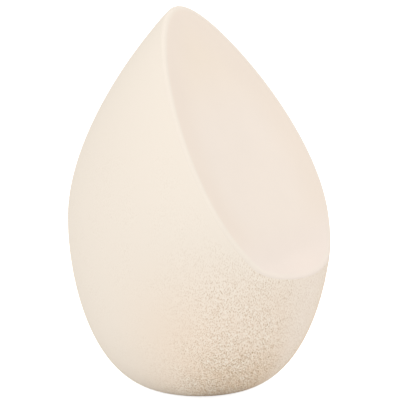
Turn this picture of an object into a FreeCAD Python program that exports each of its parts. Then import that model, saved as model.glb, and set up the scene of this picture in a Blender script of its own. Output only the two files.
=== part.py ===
# A bevelled teardrop makeup sponge: a foam body, a smooth face on its slanted side,
# and the adhesive film between them. It stands on its foot, with the face towards +X.

import FreeCAD, Part
import math
import os

from FreeCAD import Vector

# The teardrop, in millimetres and degrees
belly_diameter = 42.0
belly_height = 27.5
foot_diameter = 12.0
# Where the sides would meet if the tip weren't cut, and their angle to the axis there
tip_height = 65.7
tip_half_angle = 50.3
# How far each end of a side curve holds its direction before it bends
foot_reach = 10.8
belly_reach_below = 11.0
belly_reach_above = 13.6
tip_reach = 10.8

# The slanted face: its lean from upright where the scoop starts, and its distance from
# the foot's centre there
face_lean = 32.8
face_distance = 26.8
# It is slightly hollow, from end to end and from side to side
bow_radius = 312.0
hollow_radius = 99.0
# Its lower end scoops outward on an arc, from this far up the slant, and ends in a shelf
scoop_start = 11.6
scoop_radius = 6.0
shelf_angle = 34.6
rim_radius = 0.6

# The layers on that face
face_thickness = 0.5
film_thickness = 0.2
# The film stops short of the sponge's surface, so that no glue line shows
film_setback = 0.9

# How far the shape that makes the cut reaches past the sponge
cut_clearance = 5.0


def side_curve(start, start_handle, end_handle, end):
    curve = Part.BezierCurve()
    curve.setPoles([start, start_handle, end_handle, end])
    return curve.toShape()


def teardrop(inset):
    """The whole teardrop, uncut, with its surface moved inward by an inset."""
    belly_radius = belly_diameter / 2 - inset
    lean = math.radians(tip_half_angle)
    foot_centre = Vector(0, 0, inset)
    foot_edge = Vector(foot_diameter / 2, 0, inset)
    belly = Vector(belly_radius, 0, belly_height)
    tip = Vector(0, 0, tip_height - inset / math.sin(lean))
    below = side_curve(
        foot_edge,
        foot_edge + Vector(foot_reach, 0, 0),
        belly - Vector(0, 0, belly_reach_below),
        belly,
    )
    above = side_curve(
        belly,
        belly + Vector(0, 0, belly_reach_above),
        tip + Vector(math.sin(lean), 0, -math.cos(lean)) * tip_reach,
        tip,
    )
    foot = Part.makeLine(foot_centre, foot_edge)
    axis = Part.makeLine(tip, foot_centre)
    outline = Part.Face(Part.Wire([foot, below, above, axis]))
    return outline.revolve(Vector(0, 0, 0), Vector(0, 0, 1), 360)


def cut_away(depth):
    """What lies outside the slanted face, once the face is sunk by a depth.

    Its section is a long arc up the slant, the scoop's arc and the shelf, and it turns
    about an axis in front of the face, which makes the face hollow from side to side.
    """
    lean = math.radians(face_lean)
    outward = Vector(math.cos(lean), 0, math.sin(lean))
    upward = Vector(-math.sin(lean), 0, math.cos(lean))

    def spot(along, out):
        return upward * along + outward * (face_distance + out)

    def arc_spot(radius, angle):
        sunk = radius + depth
        return spot(scoop_start + sunk * math.sin(angle), radius - sunk * math.cos(angle))

    def arc(radius, turn):
        ends = [arc_spot(radius, turn * share) for share in (0, 0.5, 1)]
        return Part.Arc(*ends).toShape()

    top = tip_height + cut_clearance
    front = belly_diameter / 2 + cut_clearance
    bow_turn = math.asin((top - scoop_start) / bow_radius)
    shelf_turn = math.radians(shelf_angle)
    shelf_start = arc_spot(scoop_radius, -shelf_turn)
    shelf_run = outward * math.sin(shelf_turn) - upward * math.cos(shelf_turn)
    corners = [
        shelf_start,
        shelf_start + shelf_run * front / math.sin(shelf_turn),
        spot(top + depth, front),
        arc_spot(bow_radius, bow_turn),
    ]
    arcs = [arc(bow_radius, bow_turn), arc(scoop_radius, -shelf_turn)]
    section = Part.Face(Part.Wire(Part.makePolygon(corners).Edges + arcs))
    swing = math.degrees(math.asin((belly_diameter / 2 + cut_clearance) / hollow_radius))
    hinge = spot(0, hollow_radius)
    section.rotate(hinge, upward, -swing)
    return section.revolve(hinge, upward, 2 * swing)


def rounded_sponge():
    """The teardrop with its face cut and its rim rounded, before it is split into layers.

    The rim is where the teardrop's sides, which are surfaces of revolution, meet
    the tori and the cone of the cut face.
    """
    sharp = teardrop(0).cut(cut_away(0)).Solids[0]
    cut_kinds = (Part.Toroid, Part.Cone)
    rim = []
    for edge in sharp.Edges:
        surfaces = [face.Surface for face in sharp.ancestorsOfType(edge, Part.Face)]
        on_side = any(isinstance(surface, Part.SurfaceOfRevolution) for surface in surfaces)
        on_face = any(isinstance(surface, cut_kinds) for surface in surfaces)
        if on_side and on_face:
            rim.append(edge)
    return sharp.makeFillet(rim_radius, rim)


def foam_body():
    return sponge.cut(cut_away(face_thickness + film_thickness))


def bond_film():
    bed = teardrop(film_setback).common(cut_away(face_thickness + film_thickness))
    return bed.cut(cut_away(face_thickness))


def velvet_face():
    return sponge.common(cut_away(face_thickness))


sponge = rounded_sponge()
os.makedirs("parts", exist_ok=True)
for node in (foam_body, bond_film, velvet_face):
    node().exportStep("parts/" + node.__name__ + ".step")
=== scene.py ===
# %% [markdown]
# A makeup sponge on a white table
#
# The object is a teardrop of soft foam, about as tall as a thumb is long, that stands
# on a small flat foot. One side is sliced off at a slant, and that slanted face carries
# a smooth velvet layer. The solids of all three pieces are loaded first, at their real
# size and place, and everything here is dressed over them.

# %% Load the solids
import math

import bmesh
import bpy
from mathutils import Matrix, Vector
from mathutils.bvhtree import BVHTree
from mathutils.kdtree import KDTree


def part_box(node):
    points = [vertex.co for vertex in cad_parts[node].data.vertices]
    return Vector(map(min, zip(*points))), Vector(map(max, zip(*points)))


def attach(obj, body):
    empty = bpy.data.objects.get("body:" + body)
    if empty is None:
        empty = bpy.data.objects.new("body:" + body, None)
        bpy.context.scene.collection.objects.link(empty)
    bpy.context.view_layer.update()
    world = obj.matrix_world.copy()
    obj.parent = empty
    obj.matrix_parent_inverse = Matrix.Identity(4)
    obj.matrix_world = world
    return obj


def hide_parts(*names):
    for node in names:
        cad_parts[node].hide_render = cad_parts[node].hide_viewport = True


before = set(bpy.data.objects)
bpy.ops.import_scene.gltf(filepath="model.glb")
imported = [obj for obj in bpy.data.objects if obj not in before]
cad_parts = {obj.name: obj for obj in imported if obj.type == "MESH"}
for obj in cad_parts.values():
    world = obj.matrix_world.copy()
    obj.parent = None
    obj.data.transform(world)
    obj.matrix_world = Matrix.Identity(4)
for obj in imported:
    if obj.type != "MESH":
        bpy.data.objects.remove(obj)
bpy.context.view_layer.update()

print("pieces:", sorted(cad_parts))

# %% [markdown]
# The camera
#
# The sponge is seen from a little above, with its slanted face turned to the right, so
# that about half of the picture is foam and a third is face. Its sides hardly converge
# towards the top, which means that the camera stood well back with a long lens. The lens
# follows from the distance and from how much of the table the square picture takes in.

# %% Camera
camera_azimuth = math.radians(30.2)
camera_elevation = math.radians(14)
camera_distance = 0.7
picture_width = 0.06335
aim = Vector((0, 0, 0.03025))


def heading(azimuth, elevation):
    """The direction from the sponge that turns right by an azimuth and rises by an elevation."""
    level = math.cos(elevation)
    return Vector((math.sin(azimuth) * level, -math.cos(azimuth) * level, math.sin(elevation)))


towards_camera = heading(camera_azimuth, camera_elevation)
camera_data = bpy.data.cameras.new("camera")
camera_data.lens = camera_data.sensor_width * camera_distance / picture_width
camera = bpy.data.objects.new("camera", camera_data)
camera.location = aim + towards_camera * camera_distance
camera.rotation_euler = towards_camera.to_track_quat("Z", "Y").to_euler()
bpy.context.scene.collection.objects.link(camera)
bpy.context.scene.camera = camera
print("lens:", round(camera_data.lens), "mm")

# %% [markdown]
# Sums with sockets
#
# A finish is a small network of nodes. Written out node by node it is hard to read, so a
# wire is wrapped in a class that understands plus, minus and times. An expression such as
# 1 - pores then adds the Math node that it needs, and one method adds every other kind.

# %% A wire between nodes
# A Mix node has sockets for numbers and vectors too, so those for colours go by their place
first_colour = 6
second_colour = 7
mixed_colour = 2


class Wire:
    def __init__(self, tree, socket=None):
        self.tree = tree
        self.socket = socket

    def node(self, kind, settings=None, inputs=None, output=0):
        """A wire from a new node, with its settings set first, then its sockets' values or links."""
        made = self.tree.nodes.new(kind)
        for name, value in (settings or {}).items():
            setattr(made, name, value)
        for name, value in (inputs or {}).items():
            if isinstance(value, Wire):
                self.tree.links.new(value.socket, made.inputs[name])
            else:
                made.inputs[name].default_value = value
        return Wire(self.tree, made.outputs[output])

    def other(self, output):
        """A wire from another output of the same node."""
        return Wire(self.tree, self.socket.node.outputs[output])

    def math(self, operation, first, second):
        return self.node("ShaderNodeMath", {"operation": operation}, {0: first, 1: second})

    def __add__(self, other):
        return self.math("ADD", self, other)

    def __radd__(self, other):
        return self.math("ADD", other, self)

    def __sub__(self, other):
        return self.math("SUBTRACT", self, other)

    def __rsub__(self, other):
        return self.math("SUBTRACT", other, self)

    def __mul__(self, other):
        return self.math("MULTIPLY", self, other)

    def __rmul__(self, other):
        return self.math("MULTIPLY", other, self)

    def ramp(self, none, full):
        """0 at one value and beyond, 1 at the other and beyond, and smooth between."""
        sockets = {"Value": self, "From Min": none, "From Max": full}
        return self.node("ShaderNodeMapRange", {"interpolation_type": "SMOOTHSTEP"}, sockets)

    def blend(self, start, end):
        """A colour from start, where this is 0, to end, where it is 1."""
        sockets = {"Factor": self, first_colour: start, second_colour: end}
        return self.node("ShaderNodeMix", {"data_type": "RGBA"}, sockets, output=mixed_colour)

    def shade(self, colour):
        """A colour made lighter or darker by this, which is 1 for no change."""
        sockets = {0: colour, "Scale": self}
        return self.node("ShaderNodeVectorMath", {"operation": "SCALE"}, sockets)


print("a wire adds, subtracts and multiplies")


# %% Start and end a finish
def new_finish(name):
    finish = bpy.data.materials.new(name)
    finish.use_nodes = True
    finish.node_tree.nodes.clear()
    return finish, Wire(finish.node_tree)


def show(wires, shader):
    output = wires.tree.nodes.new("ShaderNodeOutputMaterial")
    wires.tree.links.new(shader.socket, output.inputs["Surface"])


def seen_directly(wires):
    """1 for the camera's own rays and for those sent on by something shiny or clear, else 0."""
    own = wires.node("ShaderNodeLightPath", output="Is Camera Ray")
    glossy = own.other("Is Glossy Ray")
    through = own.other("Is Transmission Ray")
    return wires.math("MAXIMUM", own, wires.math("MAXIMUM", glossy, through))


print("a finish starts with no nodes and ends in one output")

# %% [markdown]
# Table and light
#
# The picture is a product shot on pure white, in broad and even light. The table is a
# pale sheet that adds a little light of its own, only where it is seen, which lifts it to
# white and leaves the soft shadow at the foot. White surroundings give most of the light.
# A large lamp above the camera's left shoulder models the form, and a higher one on the
# right lights the slanted face down to its lower end.

# %% Table
table_half_width = 3.0
table_glow = 0.85
table_colour = (0.9, 0.9, 0.9, 1)

table_mesh = bpy.data.meshes.new("table")
table_shape = bmesh.new()
bmesh.ops.create_grid(table_shape, x_segments=1, y_segments=1, size=table_half_width)
table_shape.to_mesh(table_mesh)
table = bpy.data.objects.new("table", table_mesh)
bpy.context.scene.collection.objects.link(table)

table_finish, wires = new_finish("white table")
paint = wires.node("ShaderNodeBsdfDiffuse", inputs={"Color": table_colour})
glow = wires.node("ShaderNodeEmission", inputs={"Strength": seen_directly(wires) * table_glow})
show(wires, wires.node("ShaderNodeAddShader", inputs={0: paint, 1: glow}))
table_mesh.materials.append(table_finish)
print("table:", 2 * table_half_width, "m wide")

# %% White surroundings
surroundings_strength = 1.0

world = bpy.data.worlds.new("white surroundings")
world.use_nodes = True
world.node_tree.nodes.clear()
wires = Wire(world.node_tree)
strength = surroundings_strength + seen_directly(wires) * (1 - surroundings_strength)
sky = wires.node("ShaderNodeBackground", inputs={"Strength": strength})
world_output = world.node_tree.nodes.new("ShaderNodeOutputWorld")
world.node_tree.links.new(sky.socket, world_output.inputs["Surface"])
bpy.context.scene.world = world
bpy.context.scene.view_settings.view_transform = "Standard"
print("surroundings at", surroundings_strength)

# %% Lamps
lamp_distance = 1.0


def hang_lamp(name, power, width, turn, height):
    """A square lamp that faces the sponge, turned from the camera's side and raised, in degrees."""
    lamp_data = bpy.data.lights.new(name, "AREA")
    lamp_data.energy = power
    lamp_data.size = width
    lamp = bpy.data.objects.new(name, lamp_data)
    towards_lamp = heading(camera_azimuth + math.radians(turn), math.radians(height))
    lamp.location = aim + towards_lamp * lamp_distance
    lamp.rotation_euler = towards_lamp.to_track_quat("Z", "Y").to_euler()
    bpy.context.scene.collection.objects.link(lamp)
    print(name + ":", power, "W")


hang_lamp("main lamp", power=1.6, width=0.6, turn=-30, height=35)
hang_lamp("high lamp", power=1.4, width=0.6, turn=80, height=62)

# %% [markdown]
# One skin around the whole sponge
#
# The foam and the face meet flush, so they start as one skin, which is split later. It
# could be a lathed teardrop with a cut, but the cut would leave ragged faces along the
# rim, just where the light shows every dent. Instead a ball of rings is wrapped onto the
# solids: its pole points at the middle of the face, its rings spread out over the face,
# one ring runs exactly along the seam with the foam, and the rest close over the back.

# %% Rays onto the solids
face_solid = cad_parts["velvet_face"]
foam_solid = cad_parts["foam_body"]
face_rings = 64
body_rings = 150
spokes = 384
# A point well inside the foam, and a length that reaches outside from there
core = Vector((-0.001, 0, 0.028))
reach = 0.1


def ray_tree(solid):
    return BVHTree.FromObject(solid, bpy.context.evaluated_depsgraph_get())


face_tree = ray_tree(face_solid)
foam_tree = ray_tree(foam_solid)
face_low, face_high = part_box("velvet_face")
pole = ((face_low + face_high) / 2 - core).normalized()
side = Vector((0, 1, 0))
rise = pole.cross(side)


def way(tilt, turn):
    """The direction that leans from the pole by a tilt, on the spoke at a turn."""
    return pole * math.cos(tilt) + (side * math.cos(turn) + rise * math.sin(turn)) * math.sin(tilt)


def outermost(direction):
    """Where a ray from outside first meets the sponge, and whether that is on the face."""
    start = core + direction * reach
    on_face, _, _, face_distance = face_tree.ray_cast(start, -direction)
    on_foam, _, _, foam_distance = foam_tree.ray_cast(start, -direction)
    is_face = on_face is not None and face_distance < foam_distance
    return (on_face if is_face else on_foam), is_face


print("the pole leans", round(math.degrees(pole.angle(Vector((0, 0, 1))))), "degrees from upright")

# %% Find the seam
# A tilt that reaches across the narrow slot of the glue
slot_tilt = 0.04
# How often a search closes in on its tilt
seam_halvings = 24
foam_thirds = 20


def seam_tilt(turn):
    """The tilt at which a spoke leaves the face, found by halving."""
    inside, outside = 0, math.pi
    for _ in range(seam_halvings):
        middle = (inside + outside) / 2
        if outermost(way(middle, turn))[1]:
            inside = middle
        else:
            outside = middle
    return inside


def foam_tilt(turn, seam):
    """The tilt at which a spoke meets the foam nearest to the seam, found by thirds.

    In the slot of the glue a ray drops onto the seat, which is further away.
    """
    corner = outermost(way(seam, turn))[0]

    def gap(tilt):
        return (outermost(way(tilt, turn))[0] - corner).length

    low, high = seam, seam + slot_tilt
    for _ in range(foam_thirds):
        third = (high - low) / 3
        if gap(low + third) < gap(high - third):
            high -= third
        else:
            low += third
    return high


spoke_turns = [2 * math.pi * spoke / spokes for spoke in range(spokes)]
seam_tilts = [seam_tilt(turn) for turn in spoke_turns]
foam_tilts = [foam_tilt(turn, seam) for turn, seam in zip(spoke_turns, seam_tilts)]
nearest = round(math.degrees(min(seam_tilts)))
furthest = round(math.degrees(max(seam_tilts)))
print("seam between", nearest, "and", furthest, "degrees from the pole")

# %% Wrap the ball of rings
# Powers that draw the rings together towards the seam, on the face and on the body
face_crowding = 1.5
body_crowding = 1.3


def ring_and_spoke(point):
    tilt = math.acos(max(-1, min(1, point.z)))
    turn = math.atan2(point.y, point.x)
    ring = round(tilt / math.pi * (face_rings + body_rings))
    return ring, round(turn / (2 * math.pi) * spokes) % spokes


skin = bmesh.new()
bmesh.ops.create_uvsphere(skin, u_segments=spokes, v_segments=face_rings + body_rings, radius=1)
ring_of = skin.verts.layers.int.new("ring")
for vert in skin.verts:
    ring, spoke = ring_and_spoke(vert.co)
    if ring <= face_rings:
        tilt = seam_tilts[spoke] * (1 - (1 - ring / face_rings) ** face_crowding)
    else:
        start = foam_tilts[spoke]
        share = (ring - face_rings - 1) / (body_rings - 1)
        tilt = start + (math.pi - start) * share ** body_crowding
    vert[ring_of] = ring
    vert.co = outermost(way(tilt, spoke_turns[spoke]))[0]
print("skin:", len(skin.verts), "points")

# %% [markdown]
# Smooth the skin
#
# The solids are made of flat facets, too small to matter for their size but large enough
# to catch the light. Smoothing moves each point towards the middle of its neighbours, which
# wears the facets away. The rim is smoothed less, so that it keeps its tight curve.

# %% Smooth
# The share of the way that a point moves in each round
smooth_pull = 0.5
smooth_rounds = 20
rim_rounds = 6
# Half the rim's width, counted in rings
rim_reach = 10

every_axis = {"use_axis_x": True, "use_axis_y": True, "use_axis_z": True}
calm_verts = [vert for vert in skin.verts if abs(vert[ring_of] - face_rings) > rim_reach]
rim_verts = [vert for vert in skin.verts if abs(vert[ring_of] - face_rings) <= rim_reach]
for verts, rounds in ((calm_verts, smooth_rounds), (rim_verts, rim_rounds)):
    for _ in range(rounds):
        bmesh.ops.smooth_vert(skin, verts=verts, factor=smooth_pull, **every_axis)
# The foot stays on the table
for vert in skin.verts:
    vert.co.z = max(vert.co.z, 0)
print("smoothed", len(calm_verts), "points, and the rim's", len(rim_verts), "a little")

# %% [markdown]
# Where the foam is open
#
# A moulded foam has a smooth skin, and where it is worn or brushed its cells are open. Here
# they show on the lower front, below the slanted face, most of all near the foot, and close
# to a smooth skin towards the back, higher up and along the rim. Open foam is also warmer,
# because light that bounces about in a cell picks up the foam's colour. Towards the foot it
# is darkest, which is painted shade where the underside turns from the light towards the
# table, on top of the worn foam. Down the middle of the front it is a little pinker. All this
# could be painted by hand. Two measures are enough instead: the height, and the bearing, which
# is the angle around the sponge from the middle of the front. A ramp along each says where a
# look starts and where it is full.

# %% Tints of the foam
# Each pair runs from where a look starts to where it is full: heights in metres, bearings
# in radians, and the rim's distances from the face in metres
rim_distances = (0.0024, 0.0006)
rim_bearings = (0.6, 0.95)
warm_heights = (0.031, 0.010)
warm_bearings = (1.95, 0.9)
# Where the foam darkens towards the foot: painted shade, on top of worn foam
foot_shade_and_wear_heights = (0.013, 0)
foot_shade_and_wear_bearings = (1.35, 0.75)
beside_bearings = (0, 0.4)
middle_heights = (0.024, 0.019)
middle_bearings = (0.4, 0)
# How warm the middle of the front still is, and how pink
middle_warmth = 0.35
middle_pink = 0.6


def foam_tints(height, bearing, rim):
    """How warm, how dark from painted shade and wear near the foot, and how pink the foam is at each
    point, from 0 to 1.
    """
    beside = middle_warmth + (1 - middle_warmth) * bearing.ramp(*beside_bearings)
    warm = height.ramp(*warm_heights) * bearing.ramp(*warm_bearings) * (1 - rim) * beside
    # low: darker towards the foot, painted shade where the underside turns from the light, on top of
    # worn foam
    low = height.ramp(*foot_shade_and_wear_heights) * bearing.ramp(*foot_shade_and_wear_bearings) * beside
    pink = middle_pink * bearing.ramp(*middle_bearings) * height.ramp(*middle_heights)
    return warm, low, pink


print("warm below", warm_heights[0] * 1000, "mm")

# %% Open cells of the foam
upper_heights = (0.033, 0.016)
upper_bearings = (1.5, 0.75)
lower_heights = (0.016, 0)
lower_bearings = (1.9, 0.75)
lowest_heights = (0.007, 0.002)
open_bearings = (0.1, 0.55)
# How much each stretch adds, and how open the middle of the front still is
upper_share = 0.4
lower_share = 0.6
lowest_share = 0.35
middle_openness = 0.42
# A few stray cells are open all around, up to the shoulder, where the clouds are dense
stray_share = 0.08
stray_clouds = (0.3, 0.8)
stray_heights = (0.048, 0.036)
clouds_per_metre = 300
# The value that noise keeps to on average
noise_middle = 0.5


def noise_on(wires, place, per_metre, detail=2):
    sockets = {"Vector": place, "Scale": per_metre, "Detail": detail}
    return wires.node("ShaderNodeTexNoise", inputs=sockets)


def foam_openness(wires, place, height, bearing, rim):
    """How open the cells are at each point, in clouds of more and less."""
    upper = upper_share * height.ramp(*upper_heights) * bearing.ramp(*upper_bearings)
    lower = lower_share * height.ramp(*lower_heights) + lowest_share * height.ramp(*lowest_heights)
    both = upper + lower * bearing.ramp(*lower_bearings)
    beside = middle_openness + (1 - middle_openness) * bearing.ramp(*open_bearings)
    cloud = noise_on(wires, place, clouds_per_metre)
    stray = stray_share * cloud.ramp(*stray_clouds) * height.ramp(*stray_heights)
    return (both * beside * (1 + (cloud - noise_middle)) + stray) * (1 - rim)


print("open cells up to", upper_heights[0] * 1000, "mm")

# %% [markdown]
# Foam finish
#
# The foam is matte cream, and its open cells are a fraction of a millimetre across. A Voronoi
# pattern gives them, because its distance grows from the middle of a cell to its edge as the
# floor of a pit rises to its wall, and noise makes them uneven. Real dents this small would
# take millions of faces, so a bump leans the light instead. In light as even as this it
# hardly shows, so shade is painted into the pits as brown, and highlights onto the crests of
# the walls as pale cream. The pattern is stretched upwards, which gives it the nap of a brushed
# felt.

# %% Foam colours and cells
skin_colour = (0.915, 0.828, 0.722, 1)
open_colour = (0.912, 0.760, 0.616, 1)
# Painted shade near the foot, on top of worn foam
foot_shade_and_wear_colour = (0.795, 0.560, 0.350, 1)
middle_colour = (0.948, 0.826, 0.718, 1)
# A painted highlight on the crests of the cells' walls, and painted shade in their pits
crest_highlight_colour = (1.000, 0.930, 0.820, 1)
pit_shade_colour = (0.440, 0.290, 0.145, 1)
cell_width = 0.00013
cell_depth = 0.00010
cell_stretch = (1, 1, 0.36)
# How much of the walls' height comes from the cells and from the noise
cell_share = 0.4
noise_share = 0.8
# The walls' heights from which the pits get painted shade and the crests painted highlights, to
# where they are full
pit_shade_walls = (0.60, 0.40)
crest_highlight_walls = (0.52, 0.70)
# How strongly the painted highlights and the painted shade of the cells show
grain_strength = 1.4
# Near the foot the painted shade in the pits is stronger and the painted highlights on the crests
# weaker
foot_pit_shade_depth = 0.9
foot_crest_highlight_fade = 0.45
foam_roughness = 0.95
matte_specular = 0.15
print("foam cells:", cell_width * 1000, "mm across")


# %% Foam finish
def coordinates(wires):
    """A point's place on the piece, and its three parts."""
    place = wires.node("ShaderNodeTexCoord", output="Object")
    forward = wires.node("ShaderNodeSeparateXYZ", inputs={"Vector": place}, output="X")
    return place, forward, forward.other("Y"), forward.other("Z")


def attribute(wires, name):
    return wires.node("ShaderNodeAttribute", {"attribute_name": name}, output="Fac")


def foam_finish():
    finish, wires = new_finish("cream foam")
    place, forward, across, height = coordinates(wires)
    bearing = wires.math("ABSOLUTE", wires.math("ARCTAN2", across, forward), 0)
    rim = attribute(wires, "from_face").ramp(*rim_distances) * bearing.ramp(*rim_bearings)
    warm, low, pink = foam_tints(height, bearing, rim)
    opened = foam_openness(wires, place, height, bearing, rim)
    grain = grain_strength * opened

    felt = wires.node("ShaderNodeMapping", inputs={"Vector": place, "Scale": cell_stretch})
    cells = wires.node("ShaderNodeTexVoronoi", inputs={"Vector": felt, "Scale": 1 / cell_width})
    walls = cell_share * cells + noise_share * noise_on(wires, felt, 1 / cell_width)
    colour = warm.blend(skin_colour, open_colour)
    # low blends in painted shade towards the foot, on top of worn foam
    colour = low.blend(colour, foot_shade_and_wear_colour)
    colour = pink.blend(colour, middle_colour)
    # Painted highlights on the crests and painted shade in the pits, where the bump hardly shows
    painted_crest_highlights = grain * (1 - foot_crest_highlight_fade * low) * walls.ramp(*crest_highlight_walls)
    painted_pit_shade = grain * (1 + foot_pit_shade_depth * low) * walls.ramp(*pit_shade_walls)
    colour = painted_pit_shade.blend(painted_crest_highlights.blend(colour, crest_highlight_colour), pit_shade_colour)

    bump = wires.node("ShaderNodeBump", inputs={"Distance": cell_depth, "Height": walls * opened})
    show(wires, wires.node("ShaderNodeBsdfPrincipled", inputs={
        "Base Color": colour, "Roughness": foam_roughness, "Normal": bump,
        "Specular IOR Level": matte_specular,
    }))
    return finish


print("foam grain at strength", grain_strength)

# %% [markdown]
# The foam body
#
# The foam keeps the skin from the seam down. Over the face, its part of the skin sinks onto
# the seat that the solid has there, under the velvet and the glue. Each point also keeps
# its distance from the face as an attribute, which tells the finish where the rim is.

# %% Foam body
# An edge that folds by more than this is drawn sharp
sharp_angle = math.radians(40)
# How far a layer's underside lies below it where its solid has run out
thin_edge = 0.0001


def finish_piece(shape, name, finish, node):
    """Turns a finished shape into a piece that stands for a solid."""
    bmesh.ops.recalc_face_normals(shape, faces=shape.faces)
    for face in shape.faces:
        face.smooth = True
    for edge in shape.edges:
        edge.smooth = edge.calc_face_angle(0) < sharp_angle
    mesh = bpy.data.meshes.new(name)
    shape.to_mesh(mesh)
    mesh.materials.append(finish)
    piece = bpy.data.objects.new(name, mesh)
    bpy.context.scene.collection.objects.link(piece)
    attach(piece, "root")
    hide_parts(node)
    print(name + ":", len(mesh.polygons), "faces")
    return piece


def onto(tree, point):
    """Where a ray from the core towards a point first meets a solid, or just under the point."""
    direction = (point - core).normalized()
    return tree.ray_cast(core, direction)[0] or point - direction * thin_edge


foam_shape = skin.copy()
ring_of = foam_shape.verts.layers.int["ring"]
from_face = foam_shape.verts.layers.float.new("from_face")
for vert in foam_shape.verts:
    vert[from_face] = face_tree.find_nearest(vert.co)[3]
    if vert[ring_of] < face_rings:
        vert.co = onto(foam_tree, vert.co)
foam = finish_piece(foam_shape, "sponge_foam", foam_finish(), "foam_body")

# %% [markdown]
# Velvet finish
#
# The face is a short, dense nap with no open cells, so it looks smooth. Hairs could be grown
# on it, but they are too short to be seen one by one, so fine noise ruffles the light
# instead. The face is a little pinker than the foam. Towards the tip and just inside the rim
# it is darker and warmer, which is painted shade where the hollow face turns from the light.
# The rounded rim itself is as pale as the foam's skin, so the two run into each other there.
# Seen edge on it shines softly, which the shader's sheen gives.

# %% Velvet colours and nap
velvet_colour = (0.918, 0.815, 0.718, 1)
# Painted shade just inside the rim, where the hollow face turns from the light
velvet_edge_shade = (0.900, 0.786, 0.680, 1)
# Painted shade towards the tip, where the hollow face turns from the light
velvet_tip_shade = (0.914, 0.796, 0.670, 1)
velvet_low = (0.902, 0.793, 0.712, 1)
velvet_rim = (0.915, 0.828, 0.725, 1)
# Each pair runs from where a colour starts to where it is full: heights, and distances from
# the seam, in metres
tip_shade_heights = (0.042, 0.056)
edge_shade_distances = (0.0090, 0.0016)
edge_shade_heights = (0.022, 0.030)
low_face_heights = (0.030, 0.022)
seam_distances = (0.0012, 0.0006)
seam_heights = (0.019, 0.026)
nap_width = 0.00016
nap_depth = 0.00002
nap_detail = 3
nap_bump = 0.4
blotches_per_metre = 120
# How much the nap and the blotches change the colour's strength
nap_share = 0.03
blotch_share = 0.04
velvet_roughness = 0.9
sheen = {"Sheen Weight": 0.15, "Sheen Roughness": 0.5, "Sheen Tint": (1, 0.96, 0.92, 1)}
print("velvet nap:", nap_width * 1000, "mm")


# %% Velvet finish
def velvet_finish():
    finish, wires = new_finish("cream velvet")
    place, _, _, height = coordinates(wires)
    from_seam = attribute(wires, "from_seam")
    nap = noise_on(wires, place, 1 / nap_width, nap_detail)
    blotches = noise_on(wires, place, blotches_per_metre)

    # edge: painted shade just inside the rim
    edge = from_seam.ramp(*edge_shade_distances) * height.ramp(*edge_shade_heights)
    rim = from_seam.ramp(*seam_distances) * height.ramp(*seam_heights)
    # Painted shade towards the tip
    colour = height.ramp(*tip_shade_heights).blend(velvet_colour, velvet_tip_shade)
    colour = edge.blend(colour, velvet_edge_shade)
    colour = height.ramp(*low_face_heights).blend(colour, velvet_low)
    colour = rim.blend(colour, velvet_rim)
    tone = 1 + blotch_share * (blotches - noise_middle) + nap_share * (nap - noise_middle)
    leaning = {"Strength": nap_bump, "Distance": nap_depth, "Height": nap}
    show(wires, wires.node("ShaderNodeBsdfPrincipled", inputs={
        "Base Color": tone.shade(colour), "Roughness": velvet_roughness,
        "Normal": wires.node("ShaderNodeBump", inputs=leaning),
        "Specular IOR Level": matte_specular, **sheen,
    }))
    return finish


print("velvet sheen:", sheen["Sheen Weight"])

# %% [markdown]
# The velvet face
#
# The face keeps the skin inside the seam, rounded rim included. Extruding that sheet gives
# it a second side, which sinks onto the underside of the solid, and the two sides are
# welded along the seam into a closed layer. Each point keeps its distance from the seam, for
# the finish, and a KD tree of the seam's points finds that distance quickly.

# %% Velvet face
weld_distance = 1e-6

face_shape = skin.copy()
ring_of = face_shape.verts.layers.int["ring"]
beyond = [vert for vert in face_shape.verts if vert[ring_of] > face_rings]
bmesh.ops.delete(face_shape, geom=beyond, context="VERTS")

seam_points = [vert.co.copy() for vert in face_shape.verts if vert[ring_of] == face_rings]
seam_tree = KDTree(len(seam_points))
for index, point in enumerate(seam_points):
    seam_tree.insert(point, index)
seam_tree.balance()
from_seam = face_shape.verts.layers.float.new("from_seam")
for vert in face_shape.verts:
    vert[from_seam] = seam_tree.find(vert.co)[2]

layer = bmesh.ops.extrude_face_region(face_shape, geom=face_shape.faces[:], use_keep_orig=True)
for vert in layer["geom"]:
    if isinstance(vert, bmesh.types.BMVert) and vert[ring_of] < face_rings:
        vert.co = onto(face_tree, vert.co)
bmesh.ops.remove_doubles(face_shape, verts=face_shape.verts, dist=weld_distance)
velvet = finish_piece(face_shape, "sponge_face", velvet_finish(), "velvet_face")

# %% [markdown]
# The glue
#
# The film of glue between the two keeps its solid, which is hidden in the joint. It gets a
# satin finish with a faint unevenness, as brushed-on glue has.

# %% Glue finish
glue_colour = (0.82, 0.76, 0.68, 1)
glue_thin = (0.78, 0.71, 0.62, 1)
streaks_per_metre = 400
# The noise at which the glue starts to look thin, and at which it is thinnest
thin_streaks = (0.3, 0.7)
# The least roughness, and what the streaks add to it
glue_roughness = 0.4
glue_unevenness = 0.2

glue_finish, wires = new_finish("satin glue")
place = wires.node("ShaderNodeTexCoord", output="Object")
streaks = noise_on(wires, place, streaks_per_metre)
show(wires, wires.node("ShaderNodeBsdfPrincipled", inputs={
    "Base Color": streaks.ramp(*thin_streaks).blend(glue_colour, glue_thin),
    "Roughness": glue_roughness + glue_unevenness * streaks,
}))
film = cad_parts["bond_film"]
film.data.materials.clear()
film.data.materials.append(glue_finish)
print("glue on", film.name)
